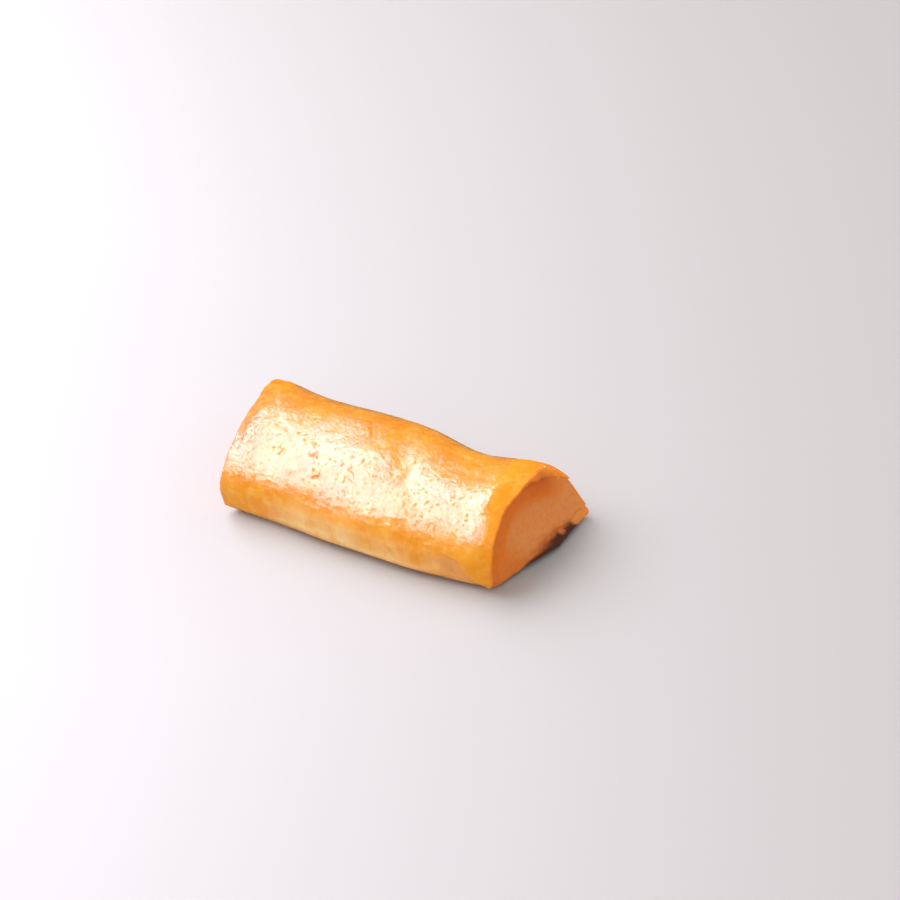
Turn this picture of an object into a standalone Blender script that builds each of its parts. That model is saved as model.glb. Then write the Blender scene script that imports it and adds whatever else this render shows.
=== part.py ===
"""A whole fried spring roll, about 12 cm long, lying on its flat underside.

One thin sheet of pastry is rolled into a flattened sleeve. At each end the
sleeve stands proud of the tucked-in end as a hood, and below it the end folds
round and under. The roll is one closed solid, lofted ring by ring from the
middle of the left end to the middle of the right end.

Frame: metres, +X along the roll, -Y the front, +Z up. The sleeve is drawn
round its own middle, and the finished roll is then moved so that the origin is
below the middle of its box, on the underside.
"""

import math

import bmesh
import bpy
import numpy as np

MM = 0.001

# Driving sizes of the sleeve's cross-section.
HALF_WIDTH = 23.0 * MM
HEIGHT = 25.6 * MM
WAIST_HEIGHT = 9.5 * MM
MIDDLE_Y = -2.0 * MM
CROWN_SHIFT = 1.5 * MM
UNDERSIDE_CUT = 0.5 * MM
FRONT_SQUARENESS = 2.35
REAR_SQUARENESS = 2.6
LOWER_SQUARENESS = 5.0

# How the section changes along the roll.
BELLY = 3.2 * MM
BELLY_X, BELLY_REACH = 11 * MM, 40 * MM
BELLY_FADE, BELLY_DRAW = 1.8 * MM, 0.1
REAR_HOLLOW = 5.2 * MM
CROWN_DIP = 1.8 * MM
HOLLOW_X, HOLLOW_REACH = 30 * MM, 18 * MM
LEFT_FLARE, LEFT_FLARE_X, LEFT_FLARE_REACH = 3.0 * MM, -54 * MM, 14 * MM
RIGHT_PINCH, RIGHT_PINCH_X, RIGHT_PINCH_REACH = 1.8 * MM, 56 * MM, 10 * MM

# The underside is flat, and arches up a little below each end.
END_ARCH = 0.4 * MM
ARCH_START, ARCH_RUN = 34 * MM, 14 * MM
ARCH_HALF_DEPTH, ARCH_FADE = 15.5 * MM, 9 * MM

# The hoods: where each rim stands, by the angle round the section.
# An angle of 0 is the rear, 90 the top, 180 the front and 270 the underside.
RIGHT_RIM = (
    (-20, 60.0), (-6, 58.6), (0, 56.0), (4, 54.6), (11, 54.1), (30, 52.5), (45, 51.5),
    (62, 52.0), (86, 53.0), (120, 52.5), (150, 53.2), (180, 53.4), (200, 52.2), (222, 50.2),
)
LEFT_RIM = (
    (-20, 54.6), (10, 56.2), (40, 56.4), (66, 54.2), (90, 51.0), (115, 48.3),
    (150, 47.9), (180, 48.8), (222, 48.4),
)
RIM_WALL = 0.9 * MM
HOOD_END, HOOD_FADE = 212, 18
RIM_SWELL_PLACE, RIM_SWELL_REACH = 6 * MM, 5 * MM
RIM_SWELL_ANGLE, RIM_SWELL_ARC = 125, 60

# Each hood: its rim, the angle at which it starts, how far the sheet swells just
# before the rim, and the tongue in which its roof runs on over the end: the angle
# at which that starts, how far it reaches out and how far it hangs down.
RIGHT_HOOD = (RIGHT_RIM, 36, 1.0 * MM, (91, 6.9 * MM, 2.6 * MM))
LEFT_HOOD = (LEFT_RIM, -4, 0.5 * MM, (100, 0.6 * MM, 0.8 * MM))
TONGUE_ARC, TONGUE_TEAR_ANGLE, TONGUE_TEAR_ARC = 39, 44, 5

# The rings over the lip of a rim: how far across its wall, and how far along the tongue.
LIP_RINGS = ((0.25, 0.4), (0.5, 1), (1, 1))

# The tucked ends lean inwards and meet the base further out at the rear. Each is
# its reach at the front, its skew, its lean at the front and at the rear, and how
# far the lip of its fold sags out along the base.
RIGHT_END = (52.8 * MM, 0.215, 0.12, 0.52, 2.1 * MM)
LEFT_END = (47.5 * MM, 0.22, 0.12, 0.27, 1.2 * MM)
LIP_Y, LIP_Z, LIP_RISE = -2 * MM, 1 * MM, 3.4 * MM
LIP_FRONT_REACH, LIP_REAR_REACH = 4.5 * MM, 11 * MM
END_DEPTH = 42 * MM
END_PUFF = 1.8 * MM
END_FRONT_Y = -23 * MM
END_PUFF_Y, END_PUFF_Z = -1 * MM, 6 * MM
END_PUFF_WIDTH, END_PUFF_RISE = 15 * MM, 9 * MM
FOLD_RADIUS = 2.8 * MM
FOLD_TUCK, FOLD_ROUNDNESS = 0.8, 0.98
FOLD_BULGE, FOLD_LIFT = 0.5 * MM, 0.3 * MM
FOLD_LAP = 1.5 * MM
FOLD_INSET = 1.6 * MM
FLOOR_OF_HOOD = 0.2 * MM

# Shallow relief of the fried sheet: long low waves, a dent across the crown, a
# crease at the left and the step down from the sheet's free edge at the front.
# A drift is how far the dent or crease moves along the roll in one degree.
WAVE_HEIGHT = 0.28 * MM
LONG_WAVE, SLOW_WAVE, SHORT_WAVE = 9 * MM, 21 * MM, 5.2 * MM
SHORT_WAVE_SHARE, SHORT_WAVE_START = 0.6, 1.1
WAVE_ANGLE, WAVE_ARC, WAVE_LEAST = 120, 70, 0.4
DENT_DEPTH = 0.55 * MM
DENT_X, DENT_DRIFT, DENT_HALF_WIDTH = 18.5 * MM, 0.32 * MM, 5 * MM
DENT_ANGLE, DENT_ARC = 120, 48
CREASE_DEPTH = 0.25 * MM
CREASE_X, CREASE_DRIFT, CREASE_HALF_WIDTH = -34 * MM, 0.7 * MM, 2.6 * MM
CREASE_ANGLE, CREASE_ARC = 101, 17
SHEET_STEP = 0.7 * MM
EDGE_ANGLE, EDGE_CURL, EDGE_START = 176, 0.14, 38 * MM
EDGE_SLOPE, STEP_ARC, STEP_FADE = 7, 34, 26
STEP_LEAD, STEP_RISE = 3 * MM, 5 * MM

# Fineness of the loft, and how far its rings crowd towards the rims.
ANGLE_STEPS = 84
LENGTH_STEPS = 46
RING_CROWDING = 0.5
END_RINGS = 6
END_RING_CROWDING = 0.85


def signed_power(value, power):
    return np.sign(value) * np.abs(value) ** power


def hill(value, centre, reach):
    return np.exp(-(((value - centre) / reach) ** 2))


def turn(angle, centre):
    """The signed distance between two angles in degrees."""
    return (angle - centre + 180) % 360 - 180


def arc_hill(angle, centre, reach):
    return np.exp(-((turn(angle, centre) / reach) ** 2))


def smooth_step(value):
    value = np.clip(value, 0, 1)
    return value * value * (3 - 2 * value)


def rim_distance(angle, keys):
    """A rim's distance from the middle, on a smooth curve through its keys."""
    places = np.array([key[0] for key in keys], float)
    values = np.array([key[1] for key in keys], float) * MM
    angle = (angle + 90) % 360 - 90
    slopes = np.gradient(values, places)
    index = np.clip(np.searchsorted(places, angle) - 1, 0, len(keys) - 2)
    span = places[index + 1] - places[index]
    share = np.clip((angle - places[index]) / span, 0, 1)
    start, end = values[index], values[index + 1]
    bend = (1 - share) * slopes[index] - share * slopes[index + 1]
    skew = (1 - 2 * share) * (start - end)
    return start * (1 - share) + end * share + share * (1 - share) * (span * bend + skew)


def rim_swell(x, angle):
    """How far the sheet swells a few millimetres before each rim."""
    swell = 0.0
    for side, (keys, _, height, _) in ((1, RIGHT_HOOD), (-1, LEFT_HOOD)):
        to_rim = rim_distance(angle, keys) - side * x
        swell = swell + height * hill(to_rim, RIM_SWELL_PLACE, RIM_SWELL_REACH)
    return swell * arc_hill(angle, RIM_SWELL_ANGLE, RIM_SWELL_ARC)


def relief(x, angle):
    """How far the sheet stands out of the smooth sleeve, along the section's radius."""
    turns = np.radians(angle)
    waves = np.sin(x / LONG_WAVE + 2 * turns) * np.sin(3 * turns + x / SLOW_WAVE)
    waves = waves + SHORT_WAVE_SHARE * np.sin(x / SHORT_WAVE - 3 * turns + SHORT_WAVE_START)
    strength = WAVE_LEAST + (1 - WAVE_LEAST) * arc_hill(angle, WAVE_ANGLE, WAVE_ARC)
    raised = WAVE_HEIGHT * waves * strength
    dent_x = DENT_X + DENT_DRIFT * turn(angle, DENT_ANGLE)
    dent = DENT_DEPTH * hill(x, dent_x, DENT_HALF_WIDTH) * arc_hill(angle, DENT_ANGLE, DENT_ARC)
    crease_x = CREASE_X + CREASE_DRIFT * turn(angle, CREASE_ANGLE)
    crease = CREASE_DEPTH * hill(x, crease_x, CREASE_HALF_WIDTH)
    crease = crease * arc_hill(angle, CREASE_ANGLE, CREASE_ARC)
    past_start = x - EDGE_START
    edge_angle = EDGE_ANGLE + EDGE_CURL * (past_start / MM) ** 2
    below = smooth_step((angle - edge_angle) / EDGE_SLOPE)
    below = below * smooth_step((edge_angle + STEP_ARC - angle) / STEP_FADE)
    step = SHEET_STEP * below * smooth_step((past_start + STEP_LEAD) / STEP_RISE)
    return raised + rim_swell(x, angle) - dent - crease - step


def underside(x, y):
    """The height of the underside above the surface that the roll rests on."""
    out = smooth_step((np.abs(x) - ARCH_START) / ARCH_RUN)
    return END_ARCH * out * smooth_step((ARCH_HALF_DEPTH - np.abs(y - MIDDLE_Y)) / ARCH_FADE)


def section(x, angle, inset=0.0):
    """The y and z of the sleeve at x, at an angle in degrees round its section."""
    turns = np.radians(angle)
    across, up = np.cos(turns), np.sin(turns)
    upper = np.where(across < 0, FRONT_SQUARENESS, REAR_SQUARENESS)
    squareness = np.where(up >= 0, upper, LOWER_SQUARENESS)
    rise = np.where(up >= 0, HEIGHT - WAIST_HEIGHT, WAIST_HEIGHT + UNDERSIDE_CUT)
    y = HALF_WIDTH * signed_power(across, 2 / squareness)
    z = WAIST_HEIGHT + rise * signed_power(up, 2 / squareness)
    y = y + MIDDLE_Y + CROWN_SHIFT * np.clip((z - WAIST_HEIGHT) / (HEIGHT - WAIST_HEIGHT), 0, 1)
    bulge = (1 + BELLY_DRAW) * smooth_step(z / BELLY_FADE) - BELLY_DRAW
    y = y - BELLY * bulge * hill(x, BELLY_X, BELLY_REACH) * arc_hill(angle, 200, 45)
    along = hill(x, HOLLOW_X, HOLLOW_REACH)
    y = y - REAR_HOLLOW * along * arc_hill(angle, 35, 50)
    z = z - CROWN_DIP * along * arc_hill(angle, 75, 40)
    y = y + LEFT_FLARE * hill(x, LEFT_FLARE_X, LEFT_FLARE_REACH) * arc_hill(angle, 40, 40)
    y = y - RIGHT_PINCH * hill(x, RIGHT_PINCH_X, RIGHT_PINCH_REACH) * arc_hill(angle, 35, 35)
    radius = np.hypot(y - MIDDLE_Y, z - WAIST_HEIGHT)
    scale = 1 + (relief(x, angle) * (z > UNDERSIDE_CUT) - inset) / radius
    y = MIDDLE_Y + (y - MIDDLE_Y) * scale
    z = WAIST_HEIGHT + (z - WAIST_HEIGHT) * scale
    return y, np.maximum(z, underside(x, y))


def end_surface(y, z, end):
    """How far out the tucked end stands at a height and depth of the section."""
    reach, skew, front_lean, rear_lean, lip = end
    back = y - END_FRONT_Y
    lean = front_lean + (rear_lean - front_lean) * back / END_DEPTH
    out = reach + skew * back - z * lean
    puff = hill(y, END_PUFF_Y, END_PUFF_WIDTH) * hill(z, END_PUFF_Z, END_PUFF_RISE)
    sag = hill(y, LIP_Y, np.where(y < LIP_Y, LIP_FRONT_REACH, LIP_REAR_REACH))
    sag = sag * hill(z, LIP_Z, LIP_RISE)
    under = np.clip(1 - z / FOLD_RADIUS, 0, 1)
    tuck = FOLD_TUCK * FOLD_RADIUS * (1 - np.sqrt(1 - FOLD_ROUNDNESS * under * under))
    return out + END_PUFF * puff + lip * sag - tuck


def tongue_share(angle, start):
    """How much of the tongue there is at an angle: none at its start, and torn off at the rear."""
    grown = np.clip((start - angle) / TONGUE_ARC, 0, 1)
    return grown * smooth_step((angle - TONGUE_TEAR_ANGLE) / TONGUE_TEAR_ARC)


def end_rings(angle, side):
    """The rings of one end, from its rim to its middle, as (x, y, z) arrays."""
    (keys, start, _, tongue), end = (RIGHT_HOOD, RIGHT_END) if side > 0 else (LEFT_HOOD, LEFT_END)
    wrapped = (angle + 90) % 360 - 90
    hood = smooth_step((wrapped - start) / HOOD_FADE + 0.5)
    hood = hood * smooth_step((HOOD_END - wrapped) / HOOD_FADE + 0.5)
    fold = 1 - hood
    y, z = section(side * end[0], angle)
    folded = end_surface(y, z, end)
    rim = hood * rim_distance(angle, keys) + fold * (folded - FOLD_BULGE)
    y, z = section(side * rim, angle)
    rings = [(side * rim, y, z)]

    tongue_start, tongue_reach, tongue_hang = tongue
    out = hood * tongue_share(wrapped, tongue_start)
    hang = tongue_hang * (1 - (1 - out) ** 2)
    for across, along in LIP_RINGS:
        y, z = section(side * rim, angle, across * (hood * RIM_WALL + fold * FOLD_BULGE))
        x = rim + along * tongue_reach * out + across * fold * FOLD_BULGE
        z = z + across * fold * FOLD_LIFT
        rings.append((side * x, y, z - along * along * hang))

    inset = hood * (RIM_WALL + FLOOR_OF_HOOD) + fold * FOLD_INSET
    edge_y, edge_z = section(side * rim, angle, inset)
    edge_x = end_surface(edge_y, edge_z, end)
    rings.append((side * np.minimum(edge_x, rim + fold * FOLD_LAP), edge_y, edge_z))
    for ring in range(1, END_RINGS):
        share = (1 - ring / END_RINGS) ** END_RING_CROWDING
        y = MIDDLE_Y + (edge_y - MIDDLE_Y) * share
        z = WAIST_HEIGHT + (edge_z - WAIST_HEIGHT) * share
        rings.append((side * end_surface(y, z, end), y, z))
    return rings


def roll_rings():
    """Every ring of the roll as (x, y, z) arrays, and the middle points of its two ends."""
    angle = np.arange(ANGLE_STEPS) * 360 / ANGLE_STEPS
    left, right = end_rings(angle, -1), end_rings(angle, 1)
    rings = left[::-1]
    for step in range(1, LENGTH_STEPS):
        even = step / LENGTH_STEPS
        crowded = (1 - math.cos(math.pi * even)) / 2
        share = RING_CROWDING * crowded + (1 - RING_CROWDING) * even
        x = left[0][0] * (1 - share) + right[0][0] * share
        rings.append((x, *section(x, angle)))
    rings.extend(right)
    middles = [
        (side * end_surface(MIDDLE_Y, WAIST_HEIGHT, end), MIDDLE_Y, WAIST_HEIGHT)
        for side, end in ((-1, LEFT_END), (1, RIGHT_END))
    ]
    return rings, middles


def centre_on_underside(work):
    """Moves the roll so that the origin is below the middle of its box."""
    places = np.array([vert.co for vert in work.verts])
    middle = (places.min(axis=0) + places.max(axis=0)) / 2
    bmesh.ops.translate(work, verts=work.verts, vec=(-middle[0], -middle[1], 0))


def lofted_mesh(name, rings, middles):
    """A closed mesh through the rings, with a fan of triangles at each end."""
    work = bmesh.new()
    loops = [[work.verts.new(point) for point in zip(*ring)] for ring in rings]
    count = len(loops[0])
    for near, far in zip(loops, loops[1:]):
        for i in range(count):
            j = (i + 1) % count
            work.faces.new((near[i], far[i], far[j], near[j]))
    first, last = (work.verts.new(point) for point in middles)
    for i in range(count):
        j = (i + 1) % count
        work.faces.new((first, loops[0][i], loops[0][j]))
        work.faces.new((last, loops[-1][j], loops[-1][i]))
    bmesh.ops.recalc_face_normals(work, faces=work.faces)
    centre_on_underside(work)
    mesh = bpy.data.meshes.new(name)
    work.to_mesh(mesh)
    work.free()
    return mesh


def pastry_material():
    """Golden fried pastry with an oily gloss."""
    material = bpy.data.materials.new("fried_pastry")
    material.use_nodes = True
    shader = material.node_tree.nodes["Principled BSDF"]
    shader.inputs["Base Color"].default_value = (0.84, 0.40, 0.09, 1)
    shader.inputs["Roughness"].default_value = 0.35
    shader.inputs["Metallic"].default_value = 0
    return material


def clear_scene():
    for item in list(bpy.data.objects):
        bpy.data.objects.remove(item)


def build_roll():
    rings, middles = roll_rings()
    mesh = lofted_mesh("spring_roll", rings, middles)
    roll = bpy.data.objects.new("spring_roll", mesh)
    bpy.context.scene.collection.objects.link(roll)
    mesh.materials.append(pastry_material())
    mesh.shade_smooth()
    mesh.set_sharp_from_angle(angle=math.radians(40))


clear_scene()
build_roll()
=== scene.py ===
# %% [markdown]
# # A whole fried spring roll
# This lesson dresses one spring roll, about 12 cm long, that is already packed as a plain
# solid. The real thing is a thin sheet of pastry rolled round a filling, with its two ends
# tucked in, and fried until it is golden, blistered and shiny with oil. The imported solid
# gives the size and the place of everything, so it is loaded first and never changed.

import math

import bpy
import numpy as np
from mathutils import Matrix, Vector


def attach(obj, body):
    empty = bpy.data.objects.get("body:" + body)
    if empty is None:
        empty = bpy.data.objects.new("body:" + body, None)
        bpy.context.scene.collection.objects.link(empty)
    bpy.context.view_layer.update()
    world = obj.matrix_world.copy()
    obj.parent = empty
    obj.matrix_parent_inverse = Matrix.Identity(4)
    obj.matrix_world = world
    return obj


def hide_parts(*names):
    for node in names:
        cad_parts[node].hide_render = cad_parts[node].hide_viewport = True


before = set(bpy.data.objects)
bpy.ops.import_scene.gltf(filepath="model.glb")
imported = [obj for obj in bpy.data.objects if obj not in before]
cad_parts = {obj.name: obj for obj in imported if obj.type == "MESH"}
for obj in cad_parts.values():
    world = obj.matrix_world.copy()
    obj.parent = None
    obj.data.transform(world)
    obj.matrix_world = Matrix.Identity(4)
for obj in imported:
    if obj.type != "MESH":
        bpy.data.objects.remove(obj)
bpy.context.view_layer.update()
MM = 0.001

# %% [markdown]
# ## The camera
# A photograph is looked at from where its camera stood. Here that place was worked out from
# the picture's own perspective: some 60 cm off, to the right, looking 36 degrees down and
# held slightly tilted. A camera can be aimed with a constraint, but three angles written into
# its matrix are exact and stay put, so they are used here.

# %% Stand the camera
CAMERA_PLACE = Vector((307.65, -379.28, 375.0)) * MM
CAMERA_TURN, CAMERA_PITCH, CAMERA_TILT = (math.radians(a) for a in (36.66, 36.0, 8.3))
CAMERA_LENS = 76.8


def camera_matrix():
    level = Vector((math.cos(CAMERA_TURN), math.sin(CAMERA_TURN), 0))
    ahead = Vector((
        -math.sin(CAMERA_TURN) * math.cos(CAMERA_PITCH),
        math.cos(CAMERA_TURN) * math.cos(CAMERA_PITCH),
        -math.sin(CAMERA_PITCH),
    ))
    upright = level.cross(ahead)
    right = math.cos(CAMERA_TILT) * level - math.sin(CAMERA_TILT) * upright
    up = math.sin(CAMERA_TILT) * level + math.cos(CAMERA_TILT) * upright
    turned = Matrix((right, up, -ahead)).transposed().to_4x4()
    return Matrix.Translation(CAMERA_PLACE) @ turned


camera = bpy.data.objects.new("camera", bpy.data.cameras.new("camera"))
bpy.context.scene.collection.objects.link(camera)
camera.matrix_world = camera_matrix()
camera.data.lens = CAMERA_LENS
camera.data.clip_start = 0.01
bpy.context.scene.camera = camera
print("camera to roll, mm:", round(CAMERA_PLACE.length / MM))

# %% [markdown]
# ## Light and floor
# Oily pastry shows its shape by what it reflects. One broad soft light at the left gives the
# wide pale gleam along the crown. It is made as two lamps in one place, one that the oil
# mirrors and one that only shades the crust, so that each can have its own strength. A faint
# even light from all round keeps the ends from going black, and it is weaker in the mirror
# of the oil, or it would lay a grey veil over the gold. Small hard lamps would leave dots
# where the real gleam is a broad patch.

# %% Set the lights
LIGHT_DISTANCE = 1.2
LIGHT_TURN, SHAPING_RISE, GLEAM_RISE = 188, 52, 46
SHAPING_POWER, GLEAM_POWER = 11.6, 122
SHAPING_COLOUR, GLEAM_COLOUR = (1.0, 0.985, 0.95), (0.90, 0.80, 1.0)
SHAPING_SIZE, GLEAM_SIZE = (1.2, 1.0), (2.0, 1.25)
ROOM_LIGHT, ROOM_IN_OIL = 0.80, 0.16
ROOM_COLOUR = (1.0, 0.99, 0.98, 1)
bpy.context.scene.view_settings.view_transform = "Standard"


def soft_light(name, azimuth, elevation, size, power, colour):
    """An area lamp that looks at the roll. Azimuth 0 is +X and 90 is +Y, in degrees."""
    azimuth, elevation = math.radians(azimuth), math.radians(elevation)
    toward = Vector((
        math.cos(elevation) * math.cos(azimuth),
        math.cos(elevation) * math.sin(azimuth),
        math.sin(elevation),
    ))
    data = bpy.data.lights.new(name, "AREA")
    data.shape = "RECTANGLE"
    data.size, data.size_y = size
    data.energy, data.color = power, colour
    lamp = bpy.data.objects.new(name, data)
    facing = toward.to_track_quat("Z", "Y").to_matrix().to_4x4()
    lamp.matrix_world = Matrix.Translation(toward * LIGHT_DISTANCE) @ facing
    bpy.context.scene.collection.objects.link(lamp)
    return lamp


shaping = soft_light(
    "shaping_light", LIGHT_TURN, SHAPING_RISE, SHAPING_SIZE, SHAPING_POWER, SHAPING_COLOUR
)
gleam = soft_light("gleam_light", LIGHT_TURN, GLEAM_RISE, GLEAM_SIZE, GLEAM_POWER, GLEAM_COLOUR)
shaping.visible_glossy = False
gleam.visible_diffuse = False

# %% Light the room evenly
world = bpy.data.worlds.new("room")
bpy.context.scene.world = world
world.use_nodes = True
room = world.node_tree.nodes["Background"]
room.inputs["Color"].default_value = ROOM_COLOUR
ray = world.node_tree.nodes.new("ShaderNodeLightPath")
strength = world.node_tree.nodes.new("ShaderNodeMath")
strength.operation = "MULTIPLY_ADD"
strength.inputs[1].default_value = ROOM_IN_OIL - ROOM_LIGHT
strength.inputs[2].default_value = ROOM_LIGHT
world.node_tree.links.new(ray.outputs["Is Glossy Ray"], strength.inputs[0])
world.node_tree.links.new(strength.outputs[0], room.inputs["Strength"])
print("room light:", ROOM_LIGHT, "and in the oil:", ROOM_IN_OIL)

# %% Lay the floor
FLOOR_HALF, FLOOR_DROP = 1.6, 0.0001
FLOOR_GREY, FLOOR_ROUGHNESS = (0.50, 0.49, 0.48, 1), 0.6
CORNER_SIGNS = ((-1, -1), (1, -1), (1, 1), (-1, 1))
floor_mesh = bpy.data.meshes.new("floor")
floor_corners = [(x * FLOOR_HALF, y * FLOOR_HALF, -FLOOR_DROP) for x, y in CORNER_SIGNS]
floor_mesh.from_pydata(floor_corners, [], [(0, 1, 2, 3)])
floor_paint = bpy.data.materials.new("pale_floor")
floor_paint.use_nodes = True
paint = floor_paint.node_tree.nodes["Principled BSDF"]
paint.inputs["Base Color"].default_value = FLOOR_GREY
paint.inputs["Roughness"].default_value = FLOOR_ROUGHNESS
floor_mesh.materials.append(floor_paint)
floor = bpy.data.objects.new("floor", floor_mesh)
bpy.context.scene.collection.objects.link(floor)
floor.visible_glossy = False
print("floor, m:", 2 * FLOOR_HALF)

# %% [markdown]
# ## The shape of the rolled sheet
# The sleeve's cross-section is a flattened round with a flat underside. It swells at the
# front, hollows at the rear right and flares at the left, so a lathe or a plain cylinder
# can't make it. A section that is worked out at every place along the roll can, and the
# solid was made that way too: the same sizes are repeated here, and the skin made from them
# lies where the solid is.

# %% Sizes of the sleeve
# The roll is shaped about its own middle, and this shift then centres its box.
SHIFT = (-2.246 * MM, 2.418 * MM)
HALF_WIDTH, HEIGHT, WAIST_HEIGHT = 23.0 * MM, 25.6 * MM, 9.5 * MM
MIDDLE_Y, CROWN_SHIFT, UNDERSIDE_CUT = -2.0 * MM, 1.5 * MM, 0.5 * MM
FRONT_SQUARENESS, REAR_SQUARENESS, LOWER_SQUARENESS = 2.35, 2.6, 5.0
BELLY, BELLY_X, BELLY_REACH = 3.2 * MM, 11 * MM, 40 * MM
BELLY_ANGLE, BELLY_ARC, BELLY_FADE, BELLY_DRAW = 200, 45, 1.8 * MM, 0.1
REAR_HOLLOW, CROWN_DIP, HOLLOW_X, HOLLOW_REACH = 5.2 * MM, 1.8 * MM, 30 * MM, 18 * MM
HOLLOW_ANGLE, HOLLOW_ARC, DIP_ANGLE, DIP_ARC = 35, 50, 75, 40
LEFT_FLARE, LEFT_FLARE_X, LEFT_FLARE_REACH = 3.0 * MM, -54 * MM, 14 * MM
RIGHT_PINCH, RIGHT_PINCH_X, RIGHT_PINCH_REACH = 1.8 * MM, 56 * MM, 10 * MM
FLARE_ANGLE, FLARE_ARC, PINCH_ANGLE, PINCH_ARC = 40, 40, 35, 35
END_ARCH, ARCH_START, ARCH_RUN = 0.4 * MM, 34 * MM, 14 * MM
ARCH_HALF_DEPTH, ARCH_FADE = 15.5 * MM, 9 * MM
# The rims' keys: the angle in degrees and the distance from the middle in mm.
RIGHT_RIM = (
    (-20, 60.0), (-6, 58.6), (0, 56.0), (4, 54.6), (11, 54.1), (30, 52.5), (45, 51.5),
    (62, 52.0), (86, 53.0), (120, 52.5), (150, 53.2), (180, 53.4), (200, 52.2), (222, 50.2),
)
LEFT_RIM = (
    (-20, 54.6), (10, 56.2), (40, 56.4), (66, 54.2), (90, 51.0), (115, 48.3),
    (150, 47.9), (180, 48.8), (222, 48.4),
)
RIM_WALL, HOOD_END, HOOD_FADE = 0.9 * MM, 212, 18
RIM_SWELL_PLACE, RIM_SWELL_REACH, RIM_SWELL_ANGLE, RIM_SWELL_ARC = 6 * MM, 5 * MM, 125, 60
print("sleeve, mm:", round(2 * HALF_WIDTH / MM), "x", round(HEIGHT / MM, 1))

# %% Sizes of the hoods, the ends and the low relief
# A hood: its rim, the angle where it starts, the swell before it, and its tongue's first
# angle, reach and hang.
RIGHT_HOOD = (RIGHT_RIM, 36, 1.0 * MM, (91, 6.9 * MM, 2.6 * MM))
LEFT_HOOD = (LEFT_RIM, -4, 0.5 * MM, (100, 0.6 * MM, 0.8 * MM))
TONGUE_ARC, TONGUE_TEAR_ANGLE, TONGUE_TEAR_ARC = 39, 44, 5
# An end: how far out it stands, its skew, its lean at the front and rear, and its fold's sag.
RIGHT_END = (52.8 * MM, 0.215, 0.12, 0.52, 2.1 * MM)
LEFT_END = (47.5 * MM, 0.22, 0.12, 0.27, 1.2 * MM)
LIP_Y, LIP_Z, LIP_RISE = -2 * MM, 1 * MM, 3.4 * MM
LIP_FRONT_REACH, LIP_REAR_REACH = 4.5 * MM, 11 * MM
END_DEPTH, END_PUFF, END_FRONT_Y = 42 * MM, 1.8 * MM, -23 * MM
END_PUFF_Y, END_PUFF_Z, END_PUFF_WIDTH, END_PUFF_RISE = -1 * MM, 6 * MM, 15 * MM, 9 * MM
FOLD_RADIUS, FOLD_TUCK, FOLD_ROUNDNESS = 2.8 * MM, 0.8, 0.98
FOLD_BULGE, FOLD_LIFT, FOLD_LAP, FOLD_INSET = 0.5 * MM, 0.3 * MM, 1.5 * MM, 1.6 * MM
FLOOR_OF_HOOD = 0.2 * MM
WAVE_HEIGHT, LONG_WAVE, SLOW_WAVE, SHORT_WAVE = 0.28 * MM, 9 * MM, 21 * MM, 5.2 * MM
SHORT_WAVE_SHARE, SHORT_WAVE_START = 0.6, 1.1
WAVE_ANGLE, WAVE_ARC, WAVE_LEAST = 120, 70, 0.4
DENT_DEPTH, DENT_X, DENT_DRIFT, DENT_HALF_WIDTH = 0.55 * MM, 18.5 * MM, 0.32 * MM, 5 * MM
DENT_ANGLE, DENT_ARC = 120, 48
CREASE_DEPTH, CREASE_X, CREASE_DRIFT, CREASE_HALF_WIDTH = 0.12 * MM, -34 * MM, 0.7 * MM, 2.6 * MM
CREASE_ANGLE, CREASE_ARC = 101, 17
SHEET_STEP, EDGE_ANGLE, EDGE_CURL, EDGE_START = 0.7 * MM, 176, 0.14, 38 * MM
STEP_ARC, STEP_FADE, STEP_LEAD, STEP_RISE = 34, 26, 3 * MM, 5 * MM
print("hood's tongue, mm:", round(RIGHT_HOOD[3][1] / MM, 1), "long")


# %% Small shaping helpers
def signed_power(value, power):
    return np.sign(value) * np.abs(value) ** power


def hill(value, centre, reach):
    return np.exp(-(((value - centre) / reach) ** 2))


def turn(angle, centre):
    """The signed distance between two angles in degrees."""
    return (angle - centre + 180) % 360 - 180


def arc_hill(angle, centre, reach):
    return np.exp(-((turn(angle, centre) / reach) ** 2))


def smooth_step(value):
    value = np.clip(value, 0, 1)
    return value * value * (3 - 2 * value)


def through(corners, place):
    """The value at a place, on straight lines through (place, value) corners."""
    return np.interp(place, [corner[0] for corner in corners], [corner[1] for corner in corners])


def rim_distance(angle, keys):
    """A rim's distance from the middle, on a smooth curve through its keys."""
    places = np.array([key[0] for key in keys], float)
    values = np.array([key[1] for key in keys], float) * MM
    angle = (angle + 90) % 360 - 90
    slopes = np.gradient(values, places)
    index = np.clip(np.searchsorted(places, angle) - 1, 0, len(keys) - 2)
    span = places[index + 1] - places[index]
    share = np.clip((angle - places[index]) / span, 0, 1)
    start, end = values[index], values[index + 1]
    bend = (1 - share) * slopes[index] - share * slopes[index + 1]
    skew = (1 - 2 * share) * (start - end)
    return start * (1 - share) + end * share + share * (1 - share) * (span * bend + skew)


print("a hill of height 1 is", round(float(hill(1, 0, 1)), 2), "one reach away")

# %% [markdown]
# ## Blisters, wrinkles and torn layers
# Hot oil makes water in the pastry boil, and the steam lifts it into blisters from half a
# millimetre to a few millimetres across. Some burst and leave a crescent-shaped pit beside a
# raised flap. They are stamped into a flat map of the sheet, which the rings then read.
# Displacement by a texture could do this, but a map that is worked out keeps its height in
# every view and in the printed mesh, and the burst ones can be put where they are seen.

# %% Smooth noise with a fixed seed
NOISE_CELLS = 128
SHEET_PER_DEGREE = 0.40 * MM


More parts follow.
